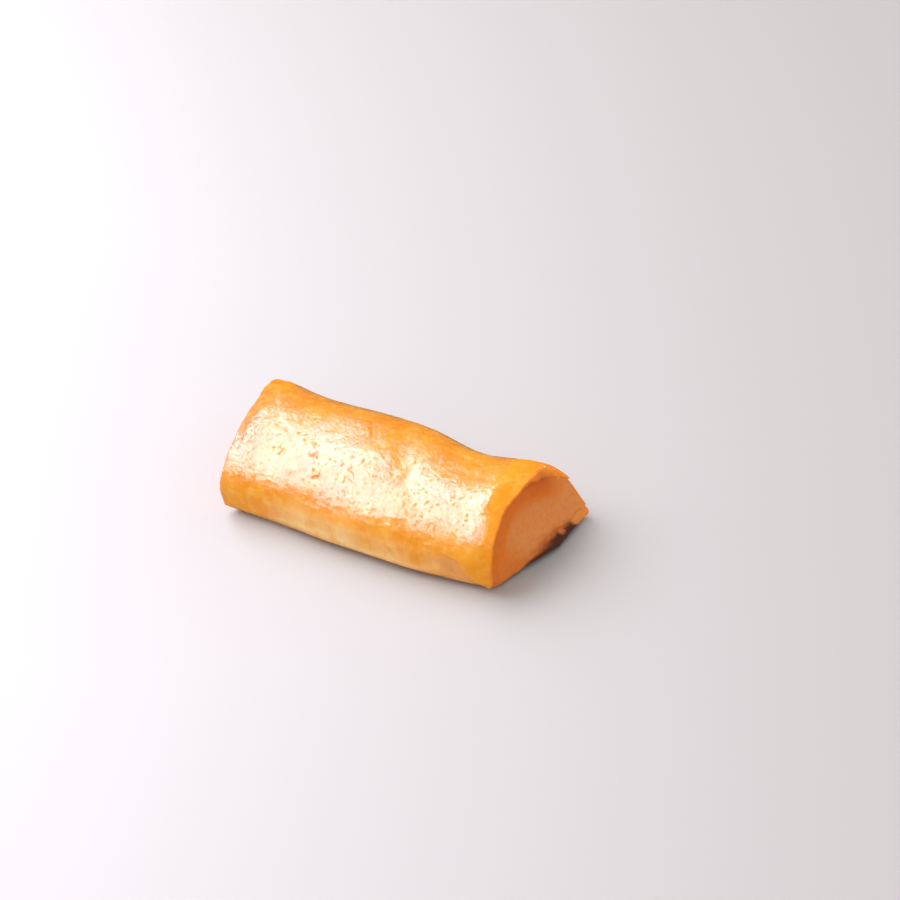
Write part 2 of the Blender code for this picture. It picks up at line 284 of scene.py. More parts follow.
def smooth_noise(across, along, seed):
    """Smooth noise from -1 to 1 over two coordinates, one cell of it to a unit."""
    table = np.random.default_rng(seed).uniform(-1, 1, (NOISE_CELLS, NOISE_CELLS))
    low_a, low_b = np.floor(across).astype(int), np.floor(along).astype(int)
    part_a, part_b = smooth_step(across - low_a), smooth_step(along - low_b)

    def corner(a, b):
        return table[(low_a + a) % NOISE_CELLS, (low_b + b) % NOISE_CELLS]

    near = corner(0, 0) * (1 - part_a) + corner(1, 0) * part_a
    far = corner(0, 1) * (1 - part_a) + corner(1, 1) * part_a
    return near * (1 - part_b) + far * part_b


def bumps(across, along, layer, seed):
    """Noise of a layer's height, over bumps of its length and width in mm."""
    height, length, width = layer
    return height * smooth_noise(across / (length * MM), along / (width * MM), seed)


def wander(place, layers, seed):
    """How far a torn edge wanders at a place: layers of a reach and the length it takes."""
    ways = enumerate(layers)
    return sum(reach * smooth_noise(place / run, 0 * place, seed + i) for i, (reach, run) in ways)


print("noise at one place:", round(float(smooth_noise(np.array(0.5), np.array(0.5), 1)), 3))

# %% A flat map of the sheet
MAP_STEP, MAP_TURN = 0.2 * MM, 0.5
MAP_X = np.arange(-60 * MM, 62 * MM, MAP_STEP)
MAP_ANGLE = np.arange(-30, 330, MAP_TURN)


def window_of(x, angle, reach):
    """The part of the map near a place, with the distances along and around it."""
    columns = np.flatnonzero(np.abs(MAP_X - x) < reach)
    rows = np.flatnonzero(np.abs(MAP_ANGLE - angle) * SHEET_PER_DEGREE < reach)
    along = (MAP_X[columns] - x)[:, None]
    around = ((MAP_ANGLE[rows] - angle) * SHEET_PER_DEGREE)[None, :]
    return np.ix_(columns, rows), along, around


print("map points along and around:", len(MAP_X), "x", len(MAP_ANGLE))

# %% Stamp the blisters into the map
# Burst blisters: x and radius in mm, the angle round the section in degrees.
BURST = (
    (-18.5, 116, 1.3), (-17.0, 118.5, 0.9), (-13.2, 136, 1.2), (-14.6, 138.5, 0.8),
    (-6.5, 119, 0.7), (8, 64, 0.9), (-30, 45, 1.1), (20, 30, 1.0), (-8, 20, 0.9), (-24, 60, 0.8),
)
BURST_REACH, BURST_RAGGED, BURST_TEETH = 2.2, 0.45, 0.6
FLAP_HEIGHT, FLAP_PLACE, FLAP_WIDTH = 0.08, 0.3, 0.5
PIT_DEPTH, PIT_PLACE, PIT_WIDTH = 0.24, 0.95, 0.36
# Closed blisters: a seed, a number, radii and heights in mm, and the angles between which they lie.
BLISTERS = (
    (11, 420, (0.5, 2.4), (0.02, 0.14), (-15, 215)),
    (12, 160, (0.5, 1.2), (0.03, 0.11), (135, 200)),
)
BLISTER_X, BLISTER_STRETCH = (-52, 52), (0.8, 1.6)
SMALL_OFTEN, DOME_POWER = 2.5, 1.3


def stamp_blisters(sheet, seed, count, radii, heights, angles):
    """Raises closed blisters at random places, the small ones far more often."""
    rng = np.random.default_rng(seed)
    for _ in range(count):
        x, angle = rng.uniform(*BLISTER_X) * MM, rng.uniform(*angles)
        size = rng.uniform() ** SMALL_OFTEN
        radius = (radii[0] + (radii[1] - radii[0]) * size) * MM
        height = (heights[0] + (heights[1] - heights[0]) * size) * MM
        long, turned = rng.uniform(*BLISTER_STRETCH), rng.uniform(0, math.pi)
        window, along, around = window_of(x, angle, radius * long)
        far = (along * math.cos(turned) + around * math.sin(turned)) / long
        wide = around * math.cos(turned) - along * math.sin(turned)
        dome = np.clip(1 - (far**2 + wide**2) / radius**2, 0, 1)
        sheet[window] = np.maximum(sheet[window], height * dome**DOME_POWER)


def stamp_burst(sheet, bare, x, angle, radius):
    """A small flap with a crescent pit beside it, and the bare place it leaves."""
    window, along, around = window_of(x * MM, angle, BURST_REACH * radius * MM)
    teeth = BURST_TEETH * MM
    ragged = 1 + BURST_RAGGED * smooth_noise(along / teeth + x, around / teeth + angle, 25)
    away = np.hypot(along, around)
    reach = away / (radius * MM) * ragged
    facing = 0.5 + 0.5 * (along + around) / (away * math.sqrt(2) + 1e-9)
    pit = hill(reach, PIT_PLACE, PIT_WIDTH) * facing
    sheet[window] += (FLAP_HEIGHT * hill(reach, FLAP_PLACE, FLAP_WIDTH) - PIT_DEPTH * pit) * MM
    bare[window] = np.maximum(bare[window], pit)


blister_map = np.zeros((len(MAP_X), len(MAP_ANGLE)))
bare_map = np.zeros_like(blister_map)
for kind in BLISTERS:
    stamp_blisters(blister_map, *kind)
for place in BURST:
    stamp_burst(blister_map, bare_map, *place)
print("highest blister, mm:", round(blister_map.max() / MM, 2))


# %% Read the map and draw lines on the sheet
def read_map(sheet, x, angle):
    """The map's value at any place, between its four nearest points."""
    across = np.clip((x - MAP_X[0]) / MAP_STEP, 0, len(MAP_X) - 1.001)
    along = np.clip((angle - MAP_ANGLE[0]) / MAP_TURN, 0, len(MAP_ANGLE) - 1.001)
    a, b = np.floor(across).astype(int), np.floor(along).astype(int)
    part_a, part_b = across - a, along - b
    near = sheet[a, b] * (1 - part_a) + sheet[a + 1, b] * part_a
    far = sheet[a, b + 1] * (1 - part_a) + sheet[a + 1, b + 1] * part_a
    return near * (1 - part_b) + far * part_b


def trail(x, angle, corners, width):
    """1 along a line through the corners and 0 away from it. Corners are mm and degrees."""
    per_degree = SHEET_PER_DEGREE / MM
    place = np.stack(np.broadcast_arrays(x / MM, angle * per_degree), axis=-1)
    nearest = np.full(place.shape[:-1], np.inf)
    for start, end in zip(corners, corners[1:]):
        start, end = (np.array((corner[0], corner[1] * per_degree)) for corner in (start, end))
        run = end - start
        share = np.clip((place - start) @ run / (run @ run), 0, 1)
        nearest = np.minimum(nearest, np.linalg.norm(place - start - share[..., None] * run, axis=-1))
    return np.exp(-((nearest / width) ** 2))


print("map points:", blister_map.size)


# %% Relief of the sheet
# The free edge wanders by these degrees, over these lengths in mm.
EDGE_WANDER = ((1.3, 1.7), (0.8, 0.7))
EDGE_RISE = 1.4


def edge_of_sheet(x):
    """The angle at which the free edge of the sheet lies, on the front at the right."""
    past_start = (x - EDGE_START) / MM
    return EDGE_ANGLE + EDGE_CURL * past_start**2 + wander(x / MM, EDGE_WANDER, 21)


def rim_swell(x, angle):
    """How far the sheet swells a few millimetres before each rim."""
    swell = 0.0
    for side, (keys, _, height, _) in ((1, RIGHT_HOOD), (-1, LEFT_HOOD)):
        to_rim = rim_distance(angle, keys) - side * x
        swell = swell + height * hill(to_rim, RIM_SWELL_PLACE, RIM_SWELL_REACH)
    return swell * arc_hill(angle, RIM_SWELL_ANGLE, RIM_SWELL_ARC)


def relief(x, angle):
    """How far the sheet stands out of the smooth sleeve, along the section's radius."""
    turns = np.radians(angle)
    waves = np.sin(x / LONG_WAVE + 2 * turns) * np.sin(3 * turns + x / SLOW_WAVE)
    waves = waves + SHORT_WAVE_SHARE * np.sin(x / SHORT_WAVE - 3 * turns + SHORT_WAVE_START)
    strength = WAVE_LEAST + (1 - WAVE_LEAST) * arc_hill(angle, WAVE_ANGLE, WAVE_ARC)
    raised = WAVE_HEIGHT * waves * strength
    dent_x = DENT_X + DENT_DRIFT * turn(angle, DENT_ANGLE)
    dent = DENT_DEPTH * hill(x, dent_x, DENT_HALF_WIDTH) * arc_hill(angle, DENT_ANGLE, DENT_ARC)
    crease_x = CREASE_X + CREASE_DRIFT * turn(angle, CREASE_ANGLE)
    crease = CREASE_DEPTH * hill(x, crease_x, CREASE_HALF_WIDTH) * arc_hill(angle, CREASE_ANGLE, CREASE_ARC)
    below_edge = angle - edge_of_sheet(x)
    below = smooth_step(below_edge / EDGE_RISE) * smooth_step((STEP_ARC - below_edge) / STEP_FADE)
    step = SHEET_STEP * below * smooth_step((x - EDGE_START + STEP_LEAD) / STEP_RISE)
    return raised + rim_swell(x, angle) - dent - crease - step


print("low relief at the dent, mm:", round(float(relief(DENT_X, np.array(DENT_ANGLE))) / MM, 2))

# %% Fine relief of the sheet
# Edges of torn layers, as corners of x in mm and angle in degrees.
TORN_EDGE = ((-8.8, 76), (-7.5, 82), (-4.6, 88), (-4.2, 92), (-6.5, 98), (-8.8, 103))
FAINT_CREASE = ((-48.2, 81), (-37.2, 94), (-30, 106), (-25.2, 114))
# Layers of bumps: a height, a length and a width in mm.
SOFT_FOLDS, WRINKLES, SHEET_GRAIN = (0.12, 13, 5), (0.045, 3.4, 2.1), (0.014, 0.8, 0.8)
WRINKLE_SLANT = 0.4
TORN_WANDER = ((0.6, 1.6),)
TORN_STEP, TORN_RISE, TORN_LENGTH, TORN_FADE = 0.12, 0.35 * MM, 9 * MM, 8 * MM
TORN_ANGLES, TORN_SIDE_FADE = (75, 104), 4


def fine_relief(x, angle):
    """Wrinkles, torn layers, blisters and grain, all under half a millimetre."""
    around = angle * SHEET_PER_DEGREE
    folds = bumps(x, around, SOFT_FOLDS, 31)
    wrinkles = bumps(x + around, around - WRINKLE_SLANT * x, WRINKLES, 32)
    grain = bumps(x, around, SHEET_GRAIN, 33)
    edge_x = through([corner[::-1] for corner in TORN_EDGE], angle)
    inside = (edge_x + wander(angle, TORN_WANDER, 34)) * MM - x
    torn = smooth_step(inside / TORN_RISE) * smooth_step((TORN_LENGTH - inside) / TORN_FADE)
    first, last = TORN_ANGLES
    torn = torn * smooth_step((angle - first) / TORN_SIDE_FADE)
    torn = torn * smooth_step((last - angle) / TORN_SIDE_FADE)
    lifted = folds + wrinkles + grain + TORN_STEP * torn
    return lifted * MM + read_map(blister_map, x + 0 * angle, angle)


print("fine relief at the crown, mm:", round(float(fine_relief(0.0, np.array(90.0))) / MM, 3))


# %% The sleeve's section
def underside(x, y):
    """The height of the underside: flat, and arched up a little below each end."""
    out = smooth_step((np.abs(x) - ARCH_START) / ARCH_RUN)
    return END_ARCH * out * smooth_step((ARCH_HALF_DEPTH - np.abs(y - MIDDLE_Y)) / ARCH_FADE)


def section(x, angle, inset=0.0, fine=0.0):
    """The y and z of the sleeve at x, at an angle in degrees round its section."""
    turns = np.radians(angle)
    across, up = np.cos(turns), np.sin(turns)
    upper = np.where(across < 0, FRONT_SQUARENESS, REAR_SQUARENESS)
    squareness = np.where(up >= 0, upper, LOWER_SQUARENESS)
    rise = np.where(up >= 0, HEIGHT - WAIST_HEIGHT, WAIST_HEIGHT + UNDERSIDE_CUT)
    y = HALF_WIDTH * signed_power(across, 2 / squareness)
    z = WAIST_HEIGHT + rise * signed_power(up, 2 / squareness)
    y = y + MIDDLE_Y + CROWN_SHIFT * np.clip((z - WAIST_HEIGHT) / (HEIGHT - WAIST_HEIGHT), 0, 1)
    bulge = (1 + BELLY_DRAW) * smooth_step(z / BELLY_FADE) - BELLY_DRAW
    y = y - BELLY * bulge * hill(x, BELLY_X, BELLY_REACH) * arc_hill(angle, BELLY_ANGLE, BELLY_ARC)
    along = hill(x, HOLLOW_X, HOLLOW_REACH)
    y = y - REAR_HOLLOW * along * arc_hill(angle, HOLLOW_ANGLE, HOLLOW_ARC)
    z = z - CROWN_DIP * along * arc_hill(angle, DIP_ANGLE, DIP_ARC)
    flare = LEFT_FLARE * hill(x, LEFT_FLARE_X, LEFT_FLARE_REACH)
    pinch = RIGHT_PINCH * hill(x, RIGHT_PINCH_X, RIGHT_PINCH_REACH)
    y = y + flare * arc_hill(angle, FLARE_ANGLE, FLARE_ARC)
    y = y - pinch * arc_hill(angle, PINCH_ANGLE, PINCH_ARC)
    radius = np.hypot(y - MIDDLE_Y, z - WAIST_HEIGHT)
    scale = 1 + ((relief(x, angle) + fine) * (z > UNDERSIDE_CUT) - inset) / radius
    y = MIDDLE_Y + (y - MIDDLE_Y) * scale
    z = WAIST_HEIGHT + (z - WAIST_HEIGHT) * scale
    return y, np.maximum(z, underside(x, y))


middle_y, middle_z = section(0.0, np.arange(0, 360, 2.0))
print("middle section, mm:", round(np.ptp(middle_y) / MM, 1), "x", round(np.ptp(middle_z) / MM, 1))

# %% [markdown]
# ## The ends
# Before the sheet is rolled up, its sides are folded in over the filling, so each end is a
# puffed panel set back under a thin hood, with a fold along the base where it browns most.
# The hood's rim wanders in and out as torn pastry does, and at the right its roof runs on in
# a torn tongue that hangs over the panel. The rim could be cut with a Boolean, but rings
# that follow it need no cut and leave no slivers.


# %% Rims and tucked panels
def end_surface(y, z, end):
    """How far out the tucked end stands at a height and depth of the section."""
    reach, skew, front_lean, rear_lean, lip = end
    back = y - END_FRONT_Y
    lean = front_lean + (rear_lean - front_lean) * back / END_DEPTH
    out = reach + skew * back - z * lean
    puff = hill(y, END_PUFF_Y, END_PUFF_WIDTH) * hill(z, END_PUFF_Z, END_PUFF_RISE)
    sag = hill(y, LIP_Y, np.where(y < LIP_Y, LIP_FRONT_REACH, LIP_REAR_REACH))
    sag = sag * hill(z, LIP_Z, LIP_RISE)
    under = np.clip(1 - z / FOLD_RADIUS, 0, 1)
    tuck = FOLD_TUCK * FOLD_RADIUS * (1 - np.sqrt(1 - FOLD_ROUNDNESS * under * under))
    return out + END_PUFF * puff + lip * sag - tuck


print("right panel's middle, mm:", round(float(end_surface(0.0, 0.01, RIGHT_END)) / MM, 1))

# %% Creases and ripples of the panels
# The crease above the folded base: the depth and the height in mm.
FOLD_CORNERS = ((-23, 1.5), (-12, 2.6), (-5, 4.6), (-1, 5.4), (6, 4.3), (13, 3.6), (20, 3.2))
PUCKERS, RIPPLES, PANEL_GRAIN = (0.32, 3.2, 7), (0.10, 1.6, 2.2), (0.03, 0.7, 0.7)
PUCKER_FADE, RIPPLE_SLANT, RIPPLE_DROP, LINE_WANDER = 14 * MM, 0.5, 0.3, ((0.35, 2.4),)
FOLD_CREASE, FOLD_CREASE_WIDTH = 0.65, 0.5 * MM
CREASE_FRONT, CREASE_RUN = -9 * MM, 5 * MM
FOLD_ROLL, FOLD_ROLL_WIDTH, FOLD_ROLL_DROP = 0.35, 1.0 * MM, 1.6 * MM
# A rim wanders in and out by these millimetres, over these degrees.
RIM_WANDER = ((0.22, 9), (0.10, 2.6), (0.05, 1.1))


def fold_line(y):
    """The height of the crease above the folded base of an end, in metres."""
    return through(FOLD_CORNERS, y / MM) * MM


def end_relief(y, z, seed):
    """Puckers, a crease and blisters on a tucked end, in metres."""
    puckers = bumps(y, z, PUCKERS, seed) * smooth_step(1.2 - z / PUCKER_FADE)
    ripples = bumps(y + RIPPLE_SLANT * z, z - RIPPLE_DROP * y, RIPPLES, seed + 1)
    grain = bumps(y, z, PANEL_GRAIN, seed + 2)
    line = fold_line(y) + wander(y / MM, LINE_WANDER, seed + 3) * MM
    crease = FOLD_CREASE * hill(z, line, FOLD_CREASE_WIDTH) * smooth_step((y - CREASE_FRONT) / CREASE_RUN)
    roll = FOLD_ROLL * hill(z, line - FOLD_ROLL_DROP, FOLD_ROLL_WIDTH)
    return (puckers + ripples + grain + roll - crease) * MM


def tongue_share(angle, start):
    """How much of the tongue there is at an angle, with a ragged tear at the rear."""
    grown = np.clip((start - angle) / TONGUE_ARC, 0, 1)
    return grown * smooth_step((angle - TONGUE_TEAR_ANGLE) / TONGUE_TEAR_ARC)


print("the fold's crease lies up to", round(float(fold_line(-1 * MM)) / MM, 1), "mm high")

# %% [markdown]
# ## The fried skin
# The whole roll is one surface: rings run from the middle of the left panel, over the left
# rim, along the sleeve, over the right rim and in to the middle of the right panel. The
# points lie close together where the light picks out detail and wider apart underneath.
# Sculpting by hand would give the same kind of surface, but rings can be made again.

# %% Rings over a rim's lip
# How far across the wall of the rim each ring lies, and how far along the tongue.
LIP_RINGS = (
    (0.02, 0.15), (0.05, 0.32), (0.09, 0.5), (0.14, 0.68), (0.2, 0.85), (0.3, 0.96),
    (0.5, 1), (0.8, 0.99), (1, 0.93),
)
LIP_ROUNDING = 0.3 * MM
TEAR_WANDER, TONGUE_WANDER = ((1.6, 1.3),), ((1.1, 3.1),)


def hood_of(angle, start):
    """1 where an end has a hood and 0 where it folds round."""
    wrapped = (angle + 90) % 360 - 90
    hood = smooth_step((wrapped - start) / HOOD_FADE + 0.5)
    return hood * smooth_step((HOOD_END - wrapped) / HOOD_FADE + 0.5)


def lip_rings(angle, side, hood, rim, tongue, seed):
    """The rings at the rim and over its lip, with the tongue on the hood's roof."""
    fold = 1 - hood
    start, longest, hang = tongue
    fine = fine_relief(side * rim, angle)
    rings = [(side * rim, *section(side * rim, angle, 0.0, fine))]
    wrapped = (angle + 90) % 360 - 90
    out = hood * tongue_share(wrapped + wander(angle, TEAR_WANDER, seed + 9), start)
    reach = (longest + wander(angle, TONGUE_WANDER, seed + 8) * MM) * out
    hang = hang * (1 - (1 - out) ** 2)
    wall = hood * RIM_WALL + fold * FOLD_BULGE
    for across, along in LIP_RINGS:
        y, z = section(side * rim, angle, across * wall, fine * (1 - across))
        rounding = LIP_ROUNDING * math.sin(math.pi * across) * hood
        x = rim + along * reach + across * fold * FOLD_BULGE + rounding
        z = z + across * fold * FOLD_LIFT
        rings.append((side * x, y, z - along * along * hang))
    return rings


print("rings over a lip:", len(LIP_RINGS))

# %% Rings of the skin
# The angles of a ring's points: from, to and the step between them, in degrees.
ANGLE_PARTS = ((-30, 60, 1.5), (60, 215, 0.8), (215, 330, 3.5))
SLEEVE_RINGS, PANEL_RINGS = 256, 29
WALL_SHARES = (0.3, 0.6, 0.85, 1)
PANEL_CROWDING, PANEL_RELIEF_RINGS = 0.85, 3


def end_rings(angle, side):
    """The rings of one end, from its rim to its middle, as (x, y, z) arrays."""
    hood_sizes, end, seed = (RIGHT_HOOD, RIGHT_END, 41) if side > 0 else (LEFT_HOOD, LEFT_END, 61)
    keys, start, _, tongue = hood_sizes
    hood = hood_of(angle, start)
    fold = 1 - hood
    y, z = section(side * end[0], angle)
    folded = end_surface(y, z, end) + end_relief(y, z, seed)
    torn = rim_distance(angle, keys) + wander(angle, RIM_WANDER, seed + 5) * MM
    rim = hood * torn + fold * (folded - FOLD_BULGE)
    rings = lip_rings(angle, side, hood, rim, tongue, seed)
    inset = hood * (RIM_WALL + FLOOR_OF_HOOD) + fold * FOLD_INSET
    edge_y, edge_z = section(side * rim, angle, inset)
    edge_x = np.minimum(end_surface(edge_y, edge_z, end), rim + fold * FOLD_LAP)
    lip, edge = rings[-1], (side * edge_x, edge_y, edge_z)
    for share in WALL_SHARES:
        rings.append(tuple(a * (1 - share) + b * share for a, b in zip(lip, edge)))
    for ring in range(1, PANEL_RINGS):
        share = (1 - ring / PANEL_RINGS) ** PANEL_CROWDING
        y = MIDDLE_Y + (edge_y - MIDDLE_Y) * share
        z = WAIST_HEIGHT + (edge_z - WAIST_HEIGHT) * share
        pucker = end_relief(y, z, seed) * smooth_step(ring / PANEL_RELIEF_RINGS)
        rings.append((side * (end_surface(y, z, end) + pucker), y, z))
    return rings


def sleeve_rings(angle, left_rim, right_rim):
    rings = []
    for step in range(1, SLEEVE_RINGS):
        share = step / SLEEVE_RINGS
        x = left_rim * (1 - share) + right_rim * share
        rings.append((x, *section(x, angle, 0.0, fine_relief(x, angle))))
    return rings


angles = np.concatenate([np.arange(*part) for part in ANGLE_PARTS])
left_rings, right_rings = end_rings(angles, -1), end_rings(angles, 1)
middle_rings = sleeve_rings(angles, left_rings[0][0], right_rings[0][0])
skin_rings = left_rings[::-1] + middle_rings + right_rings
print("rings:", len(skin_rings), "points in a ring:", len(angles))


# %% Join the rings into one closed skin
def ring_mesh(name, rings, middles):
    """A closed mesh through the rings, with a fan of triangles at each end."""
    points = np.concatenate([np.stack(np.broadcast_arrays(*ring), axis=1) for ring in rings])
    count = len(rings[0][1])
    points = np.concatenate([points, np.array(middles)])
    points[:, 0] += SHIFT[0]
    points[:, 1] += SHIFT[1]
    first = np.arange(count)
    after = (first + 1) % count
    faces = []
    for ring in range(len(rings) - 1):
        near, far = ring * count, (ring + 1) * count
        faces.extend(np.stack([near + first, near + after, far + after, far + first], axis=1).tolist())
    last = (len(rings) - 1) * count
    left_middle, right_middle = len(points) - 2, len(points) - 1
    faces.extend([left_middle, int(b), int(a)] for a, b in zip(first, after))
    faces.extend([right_middle, int(last + a), int(last + b)] for a, b in zip(first, after))
    mesh = bpy.data.meshes.new(name)
    mesh.from_pydata(points.tolist(), [], faces)
    mesh.shade_smooth()
    return mesh


panel_middles = [
    (side * end_surface(MIDDLE_Y, WAIST_HEIGHT, end), MIDDLE_Y, WAIST_HEIGHT)
    for side, end in ((-1, LEFT_END), (1, RIGHT_END))
]
skin_mesh = ring_mesh("fried_skin", skin_rings, panel_middles)
fried_skin = bpy.data.objects.new("fried_skin", skin_mesh)
bpy.context.scene.collection.objects.link(fried_skin)
skin_mesh.calc_loop_triangles()
skin_places = np.array([vertex.co for vertex in skin_mesh.vertices])
skin_triangles = np.array([triangle.vertices for triangle in skin_mesh.loop_triangles])
volume = np.linalg.det(skin_places[skin_triangles]).sum() / 6
print("skin triangles:", len(skin_mesh.loop_triangles), "volume, cm3:", round(volume * 1e6, 1))

# %% [markdown]
# ## Where the pastry browned, and where light and shade are painted
# Frying colours a roll unevenly: rims, folds and burst blisters go brown first, and a sheet
# that has lifted off the layer below stays pale. Some colour is painted light and shade: the
# shade under the right hood is painted as a deep orange strip, a rear corner that the lamps
# leave dark is painted brighter, and a reflection of the floor is painted on the front's lowest
# strip. These places belong to the shape, so they are worked out for each point of the skin
# and kept in named attributes, which the material then reads. Painting an image by hand
# would need a flat map of the surface.

# %% Find each point's place on the roll
skin_points = np.array([v.co for v in skin_mesh.vertices])
at_x, at_y, at_z = (skin_points / MM).T
at_x, at_y = at_x - SHIFT[0] / MM, at_y - SHIFT[1] / MM
ring_of = np.minimum(np.arange(len(skin_points)) // len(angles), len(skin_rings) - 1)
ring_of[-2] = 0
past_rim = np.maximum(len(left_rings) - 1 - ring_of, ring_of - (len(skin_rings) - len(right_rings)))
ring_angle = np.append(np.tile(angles, len(skin_rings)), (90, 90))
hood_start = np.where(at_x > 0, RIGHT_HOOD[1], LEFT_HOOD[1])
hooded = hood_of(ring_angle, hood_start)
in_wall = (past_rim > 0) & (past_rim <= len(LIP_RINGS) + 1)
on_panel = np.where(in_wall, 1 - hooded, past_rim > 0).astype(float)
on_lip = in_wall * hooded
to_left = rim_distance(ring_angle, LEFT_RIM) / MM + at_x
to_right = rim_distance(ring_angle, RIGHT_RIM) / MM - at_x
along_ring = ring_angle * SHEET_PER_DEGREE / MM
print("points on the panels:", int(on_panel.sum()))

# %% Spots, and a store for what is marked
FINE_SPOT, COARSE_SPOT, PATCH_LENGTH, PATCH_ARC = 0.9, 2.3, 9, 14


def spots(across, along, size, seed, start=0):
    """Noise from -1 to 1 with spots of a size in mm."""
    return smooth_noise(across / size + start, along / size, seed)


def store(name, values):
    layer = skin_mesh.attributes.new(name, "FLOAT", "POINT")
    layer.data.foreach_set("value", np.clip(values, 0, 1).astype(np.float32))
    print(name, "covers", round(float(np.mean(values > 0.5)) * 100, 1), "% of the points")


speckle = 0.5 * spots(at_x, along_ring, FINE_SPOT, 81, 7)
speckle = speckle + spots(at_x, along_ring, COARSE_SPOT, 82)
patchy = 0.5 + 0.5 * smooth_noise(at_x / PATCH_LENGTH + 3, ring_angle / PATCH_ARC, 71)
print("speckle, from and to:", round(float(speckle.min()), 2), round(float(speckle.max()), 2))

# %% Brown the sleeve's lines, pits and dots
# Browned lines and spots: corners of x in mm and angle in degrees, the width in mm and a strength.
BROWN_TRAILS = (
    (((-47.6, 94), (-46.9, 100), (-46.3, 108)), 0.55, 0.65),
    (((-45.2, 118), (-44.8, 123), (-44.6, 136)), 0.5, 0.6),
    (((-51.5, 40), (-50.5, 46), (-51.2, 60)), 1.2, 0.6),
    (((-44, 60), (-42, 68)), 0.9, 0.35),
    (FAINT_CREASE, 0.5, 0.30),
    (TORN_EDGE, 0.35, 0.42),
    (((-2.6, 123), (-0.8, 126), (-0.3, 129)), 0.3, 0.75),
    (((-1.8, 131), (-0.2, 133)), 0.3, 0.7),
    (((-7.4, 116), (-6.2, 120)), 0.3, 0.55),
    (((-44.6, 139), (-44.2, 150)), 0.4, 0.35),
    (((-41.5, 112), (-40.2, 120), (-40.6, 128)), 0.4, 0.35),
    (((39.2, 184), (40.2, 187)), 0.9, 0.25),
    (((50.2, 205), (50.3, 206)), 0.5, 0.8),
)
# How brown the dots, the burst blisters, the mottling and the rims are.
DOTS_BROWN, PITS_BROWN, MOTTLE_BROWN, RIMS_BROWN = 0.45, 0.9, 0.85, 0.10
DOT_SIZE, DOT_LEAST, DOT_RUN = 0.8, 0.72, 0.2
skin_x = at_x * MM
browned = np.zeros(len(at_x))
for trail_corners, width, depth in BROWN_TRAILS:
    browned = np.maximum(browned, depth * trail(skin_x, ring_angle, trail_corners, width))
browned = browned * np.clip(1 + 0.9 * speckle, 0.1, 1.7)
dots = np.clip((spots(at_x, along_ring, DOT_SIZE, 85, 31) - DOT_LEAST) / DOT_RUN, 0, 1)
dots = dots * smooth_step((-20 - at_x) / 18) * arc_hill(ring_angle, 140, 26)
browned = np.maximum(browned, DOTS_BROWN * dots)
browned = np.maximum(browned, PITS_BROWN * read_map(bare_map, skin_x, ring_angle))
print("browned points:", int((browned > 0.5).sum()))

# %% Mottle the left end and toast the rims
MOTTLE_SIZE, MOTTLE_GAIN, MOTTLE_LEAST = 1.3, 1.4, 0.35
mottled = np.clip(MOTTLE_GAIN * spots(at_x, along_ring, MOTTLE_SIZE, 86, 5) + MOTTLE_LEAST, 0, 1)
mottled = mottled * smooth_step((8 - to_left) / 6) * arc_hill(ring_angle, 92, 36)
browned = np.maximum(browned, MOTTLE_BROWN * mottled)
to_nearest_rim = np.minimum(np.abs(to_left), np.abs(to_right))
rim_toast = RIMS_BROWN * np.exp(-to_nearest_rim / 0.8) * (1 - on_lip)
sleeve = 1 - on_panel
store("toasted", np.maximum(browned * sleeve, rim_toast))

# %% Mark where the sheet has lifted off, where it is double and where it is pink, and paint a reflection of the floor low on the front
lifted = hill(at_x, -4, 24) * arc_hill(ring_angle, 188, 15)
lifted = lifted + 0.5 * hill(at_x, 28, 10) * arc_hill(ring_angle, 186, 10)
store("lifted", sleeve * lifted * patchy * 1.7)
under_edge = smooth_step((ring_angle - edge_of_sheet(skin_x)) / 2) * smooth_step((at_x - 33) / 7)
under_edge = under_edge * (ring_angle < 235)
# A reflection of the floor is painted on the lowest strip of the front, in the inner sheet's paler colour.
painted_floor_sheen = smooth_step((ring_angle - 196) / 8) * (ring_angle < 250)
store("inner_sheet_and_painted_sheen", sleeve * np.maximum(under_edge * 0.85, 0.6 * painted_floor_sheen))
blush = smooth_step((13 - to_left) / 9) * arc_hill(ring_angle, 122, 34) * (0.75 + 0.25 * speckle)
store("blush", sleeve * blush)

# %% Mark the dull strips and the thin, torn edges beside the rims
# The oil has run off a strip beside each rim: its width in mm by the angle.
DULL_AT_RIGHT = ((60, 12), (90, 10), (114, 7.7), (132, 4.3), (150, 2.2), (170, 1.5))
DULL_AT_LEFT = ((60, 9), (90, 6), (105, 3.5), (125, 1.6), (150, 0.8), (180, 0))
DULL_RAGGED, DULL_FADE, DULL_BLUSH = 1.9, 2.4, 0.3
dull = DULL_BLUSH * blush
for to_rim, strip in ((to_right, DULL_AT_RIGHT), (to_left, DULL_AT_LEFT)):
    width = through(strip, ring_angle) + DULL_RAGGED * speckle
    dull = np.maximum(dull, smooth_step((width - to_rim) / DULL_FADE))
store("dull", sleeve * dull)
store("thin", np.maximum(on_lip, 0.5 * sleeve * np.exp(-np.abs(to_right) / 1.2)))
roof = arc_hill(ring_angle, 78, 13) * smooth_step((at_x - 50) / 2) * smooth_step((past_rim - 1) / 3)
store("shaded_roof", 0.8 * roof * on_lip)

